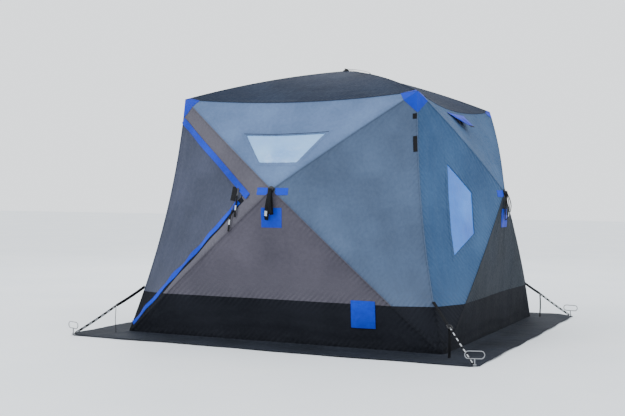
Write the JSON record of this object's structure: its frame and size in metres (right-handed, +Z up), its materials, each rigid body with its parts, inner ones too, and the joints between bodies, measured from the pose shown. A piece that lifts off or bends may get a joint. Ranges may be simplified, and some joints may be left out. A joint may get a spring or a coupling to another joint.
{
  "type": "ice fishing shelter",
  "caption": "Pop-up fabric ice fishing shelter with sprung wall and roof hubs, zipped corner door, windows, hooded vents, snow skirt, guy straps and ice anchors.",
  "frame": {"origin": "on the ice, under the middle of the shelter, midway between its four anchors", "axes": "+Z up; -Y towards the front wall with the door; +X towards the right wall"},
  "size_m": [3.1372, 3.062, 2.0495],
  "materials": {
    "roof_fabric": "matte",
    "wall_fabric_front": "matte",
    "wall_fabric_side": "matte",
    "band_fabric": "matte",
    "skirt_fabric": "matte",
    "webbing": "matte",
    "bright_fabric": "matte",
    "pane_film": "gloss",
    "mesh_screen": "matte",
    "buckle_plastic": "satin",
    "eyelet_metal": "satin",
    "hub_metal": "satin",
    "rod_fibre": "satin",
    "sleeve_metal": "satin",
    "door_fabric": "matte",
    "zip_chain": "satin",
    "anchor_steel": "satin"
  },
  "bodies": {
    "canopy": {"roof_canopy": "roof_fabric", "front_wall": "wall_fabric_front", "right_wall": "wall_fabric_side", "back_wall": "wall_fabric_front", "left_wall": "wall_fabric_side", "lower_band": "band_fabric", "snow_skirt": "skirt_fabric", "corner_pockets": "webbing", "foot_pockets": "webbing", "corner_caps": "bright_fabric", "window_panes": "pane_film", "vent_screens": "mesh_screen", "touch_tapes": "webbing", "hub_patches": "bright_fabric", "guy_straps": "webbing", "strap_buckles": "buckle_plastic", "skirt_grommets": "eyelet_metal"},
    "front_hub": {"front_hub": "hub_metal"},
    "front_pull_strap": {"front_pull_strap": "webbing"},
    "front_rods_left": {"front_rods_left": "rod_fibre", "front_sleeves_left": "sleeve_metal"},
    "front_rods_right": {"front_rods_right": "rod_fibre", "front_sleeves_right": "sleeve_metal"},
    "right_hub": {"right_hub": "hub_metal"},
    "right_pull_strap": {"right_pull_strap": "webbing"},
    "right_rods_left": {"right_rods_left": "rod_fibre", "right_sleeves_left": "sleeve_metal"},
    "right_rods_right": {"right_rods_right": "rod_fibre", "right_sleeves_right": "sleeve_metal"},
    "back_hub": {"back_hub": "hub_metal"},
    "back_pull_strap": {"back_pull_strap": "webbing"},
    "back_rods_left": {"back_rods_left": "rod_fibre", "back_sleeves_left": "sleeve_metal"},
    "back_rods_right": {"back_rods_right": "rod_fibre", "back_sleeves_right": "sleeve_metal"},
    "left_hub": {"left_hub": "hub_metal"},
    "left_pull_strap": {"left_pull_strap": "webbing"},
    "left_rods_left": {"left_rods_left": "rod_fibre", "left_sleeves_left": "sleeve_metal"},
    "left_rods_right": {"left_rods_right": "rod_fibre", "left_sleeves_right": "sleeve_metal"},
    "roof_hub": {"roof_hub": "hub_metal"},
    "roof_pull_strap": {"roof_pull_strap": "webbing"},
    "roof_rods_left": {"roof_rods_left": "rod_fibre", "roof_sleeves_left": "sleeve_metal"},
    "roof_rods_right": {"roof_rods_right": "rod_fibre", "roof_sleeves_right": "sleeve_metal"},
    "door": {"door_panel": "door_fabric", "door_zip": "zip_chain"},
    "upper_zip_slider": {"upper_zip_slider": "buckle_plastic"},
    "lower_zip_slider": {"lower_zip_slider": "buckle_plastic"},
    "right_vent_hood": {"right_vent_hood": "bright_fabric"},
    "left_vent_hood": {"left_vent_hood": "bright_fabric"},
    "cord_port_flap": {"cord_port_flap": "bright_fabric"},
    "anchor_front_left": {"anchor_front_left": "anchor_steel"},
    "anchor_front_right": {"anchor_front_right": "anchor_steel"},
    "anchor_back_right": {"anchor_back_right": "anchor_steel"},
    "anchor_back_left": {"anchor_back_left": "anchor_steel"}
  },
  "joints": [
    {"name": "front_hub_pop", "type": "slide", "parent": "canopy", "child": "front_hub", "axis": [0, 0.9856, -0.1694], "range_m": [0, 0.4782], "deforming": ["front_wall", "hub_patches"]},
    {"name": "front_rods_left_swing", "type": "hinge", "parent": "canopy", "child": "front_rods_left", "pos_m": [-0.905, -0.905, 1.735], "axis": [0.167, 0.167, 0.9717], "range_deg": [-0.5, 27.08]},
    {"name": "front_rods_right_swing", "type": "hinge", "parent": "canopy", "child": "front_rods_right", "pos_m": [0.905, -0.905, 1.735], "axis": [0.167, -0.167, -0.9717], "range_deg": [-0.5, 27.08]},
    {"name": "front_strap_swing", "type": "hinge", "parent": "front_hub", "child": "front_pull_strap", "pos_m": [0, -1.30682, 1.07417], "axis": [-1, 0, 0], "range_deg": [0, 95]},
    {"name": "right_hub_pop", "type": "slide", "parent": "canopy", "child": "right_hub", "axis": [-0.9856, 0, -0.1694], "range_m": [0, 0.4782], "deforming": ["right_wall"]},
    {"name": "right_rods_left_swing", "type": "hinge", "parent": "canopy", "child": "right_rods_left", "pos_m": [0.905, -0.905, 1.735], "axis": [-0.167, 0.167, 0.9717], "range_deg": [-0.5, 27.08]},
    {"name": "right_rods_right_swing", "type": "hinge", "parent": "canopy", "child": "right_rods_right", "pos_m": [0.905, 0.905, 1.735], "axis": [0.167, 0.167, -0.9717], "range_deg": [-0.5, 27.08]},
    {"name": "right_strap_swing", "type": "hinge", "parent": "right_hub", "child": "right_pull_strap", "pos_m": [1.30682, 0, 1.07417], "axis": [0, -1, 0], "range_deg": [0, 95]},
    {"name": "back_hub_pop", "type": "slide", "parent": "canopy", "child": "back_hub", "axis": [0, -0.9856, -0.1694], "range_m": [0, 0.4782], "deforming": ["back_wall"]},
    {"name": "back_rods_left_swing", "type": "hinge", "parent": "canopy", "child": "back_rods_left", "pos_m": [0.905, 0.905, 1.735], "axis": [-0.167, -0.167, 0.9717], "range_deg": [-0.5, 27.08]},
    {"name": "back_rods_right_swing", "type": "hinge", "parent": "canopy", "child": "back_rods_right", "pos_m": [-0.905, 0.905, 1.735], "axis": [-0.167, 0.167, -0.9717], "range_deg": [-0.5, 27.08]},
    {"name": "back_strap_swing", "type": "hinge", "parent": "back_hub", "child": "back_pull_strap", "pos_m": [0, 1.30682, 1.07417], "axis": [1, 0, 0], "range_deg": [0, 95]},
    {"name": "left_hub_pop", "type": "slide", "parent": "canopy", "child": "left_hub", "axis": [0.9856, 0, -0.1694], "range_m": [0, 0.4782], "deforming": ["left_wall"]},
    {"name": "left_rods_left_swing", "type": "hinge", "parent": "canopy", "child": "left_rods_left", "pos_m": [-0.905, 0.905, 1.735], "axis": [0.167, -0.167, 0.9717], "range_deg": [-0.5, 27.08]},
    {"name": "left_rods_right_swing", "type": "hinge", "parent": "canopy", "child": "left_rods_right", "pos_m": [-0.905, -0.905, 1.735], "axis": [-0.167, -0.167, -0.9717], "range_deg": [-0.5, 27.08]},
    {"name": "left_strap_swing", "type": "hinge", "parent": "left_hub", "child": "left_pull_strap", "pos_m": [-1.30682, 0, 1.07417], "axis": [0, 1, 0], "range_deg": [0, 95]},
    {"name": "roof_hub_pop", "type": "slide", "parent": "canopy", "child": "roof_hub", "axis": [0, 0, -1], "range_m": [0, 0.522], "deforming": ["roof_canopy"]},
    {"name": "roof_rods_left_swing", "type": "hinge", "parent": "canopy", "child": "roof_rods_left", "pos_m": [-0.905, 0, 1.735], "axis": [0, 1, 0], "range_deg": [-0.5, 32.67]},
    {"name": "roof_rods_right_swing", "type": "hinge", "parent": "canopy", "child": "roof_rods_right", "pos_m": [0.905, 0, 1.735], "axis": [0, -1, 0], "range_deg": [-0.5, 32.67]},
    {"name": "roof_strap_swing", "type": "hinge", "parent": "roof_hub", "child": "roof_pull_strap", "pos_m": [0, 0, 2.043], "axis": [0, -1, 0], "range_deg": [0, 150]},
    {"name": "door_swing", "type": "hinge", "parent": "front_rods_left", "child": "door", "pos_m": [-1.072, -1.072, 0.8755], "axis": [-0.1644, -0.1644, -0.9726], "range_deg": [0, 60]},
    {"name": "upper_zip_slide", "type": "slide", "parent": "door", "child": "upper_zip_slider", "axis": [-0.7608, 0.3073, 0.5716], "range_m": [0, 0.816]},
    {"name": "lower_zip_slide", "type": "slide", "parent": "door", "child": "lower_zip_slider", "axis": [-0.7113, 0.0269, -0.7023], "range_m": [0, 1.04]},
    {"name": "right_vent_swing", "type": "hinge", "parent": "canopy", "child": "right_vent_hood", "pos_m": [0.94937, -0.07392, 1.71699], "axis": [0, 1, 0], "range_deg": [-35, 32]},
    {"name": "left_vent_swing", "type": "hinge", "parent": "canopy", "child": "left_vent_hood", "pos_m": [-0.94937, 0.07392, 1.71699], "axis": [0, -1, 0], "range_deg": [-35, 32]},
    {"name": "cord_port_swing", "type": "hinge", "parent": "canopy", "child": "cord_port_flap", "pos_m": [0.669, -1.24804, 0.33366], "axis": [-1, 0, 0], "range_deg": [0, 120]},
    {"name": "anchor_front_left_turn", "type": "hinge", "parent": "canopy", "child": "anchor_front_left", "pos_m": [-1.506, -1.506, 0], "axis": [0, 0, -1], "continuous": true},
    {"name": "anchor_front_right_turn", "type": "hinge", "parent": "canopy", "child": "anchor_front_right", "pos_m": [1.506, -1.506, 0], "axis": [0, 0, -1], "continuous": true},
    {"name": "anchor_back_right_turn", "type": "hinge", "parent": "canopy", "child": "anchor_back_right", "pos_m": [1.506, 1.506, 0], "axis": [0, 0, -1], "continuous": true},
    {"name": "anchor_back_left_turn", "type": "hinge", "parent": "canopy", "child": "anchor_back_left", "pos_m": [-1.506, 1.506, 0], "axis": [0, 0, -1], "continuous": true}
  ],
  "couplings": [
    {"joint": "front_rods_left_swing", "follows": "front_hub_pop", "rad_per_m": 0.96999},
    {"joint": "front_rods_right_swing", "follows": "front_hub_pop", "rad_per_m": 0.96999},
    {"joint": "right_rods_left_swing", "follows": "right_hub_pop", "rad_per_m": 0.96999},
    {"joint": "right_rods_right_swing", "follows": "right_hub_pop", "rad_per_m": 0.96999},
    {"joint": "back_rods_left_swing", "follows": "back_hub_pop", "rad_per_m": 0.96999},
    {"joint": "back_rods_right_swing", "follows": "back_hub_pop", "rad_per_m": 0.96999},
    {"joint": "left_rods_left_swing", "follows": "left_hub_pop", "rad_per_m": 0.96999},
    {"joint": "left_rods_right_swing", "follows": "left_hub_pop", "rad_per_m": 0.96999},
    {"joint": "roof_rods_left_swing", "follows": "roof_hub_pop", "rad_per_m": 1.0758},
    {"joint": "roof_rods_right_swing", "follows": "roof_hub_pop", "rad_per_m": 1.0758}
  ]
}
